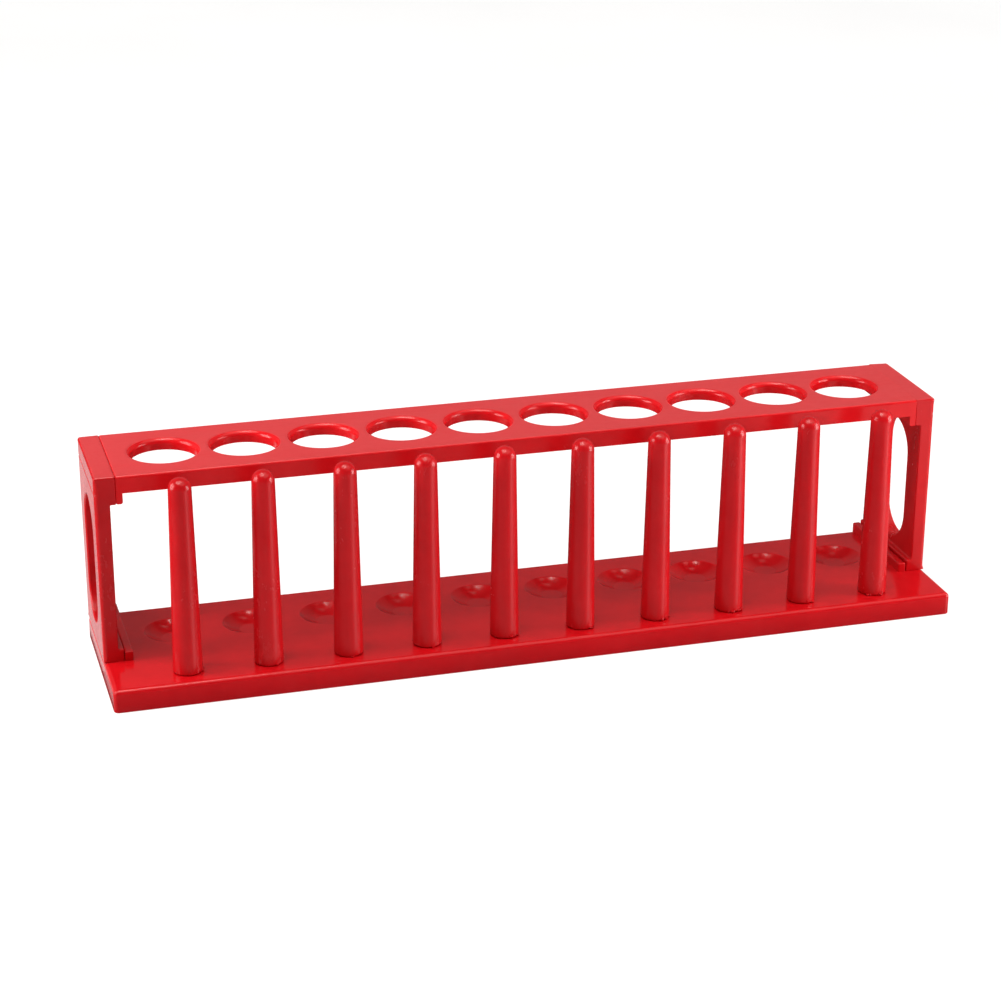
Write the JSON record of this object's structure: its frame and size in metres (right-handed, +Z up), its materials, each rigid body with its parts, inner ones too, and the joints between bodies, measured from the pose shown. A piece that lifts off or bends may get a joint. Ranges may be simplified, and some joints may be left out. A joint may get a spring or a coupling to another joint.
{
  "type": "test tube rack",
  "caption": "Low moulded plastic rack that holds a row of test tubes upright in a holed top plate over a dimpled base, with a row of tapered drying pegs along the front.",
  "frame": {"origin": "middle of the rack's footprint, on the surface it stands on", "axes": "+X along the row of tubes, +Y from the peg side to the back, +Z up"},
  "size_m": [0.262, 0.0564, 0.0672],
  "materials": {
    "base_red": "gloss moulded polypropylene, red",
    "top_red": "satin-gloss moulded polypropylene, red",
    "frame_red": "gloss moulded polypropylene, red",
    "peg_red": "gloss moulded polypropylene, red"
  },
  "bodies": {
    "root": {"base_plate": "base_red", "top_plate": "top_red", "end_frame_left": "frame_red", "end_frame_right": "frame_red", "peg_01": "peg_red", "peg_02": "peg_red", "peg_03": "peg_red", "peg_04": "peg_red", "peg_05": "peg_red", "peg_06": "peg_red", "peg_07": "peg_red", "peg_08": "peg_red", "peg_09": "peg_red", "peg_10": "peg_red"}
  },
  "joints": []
}
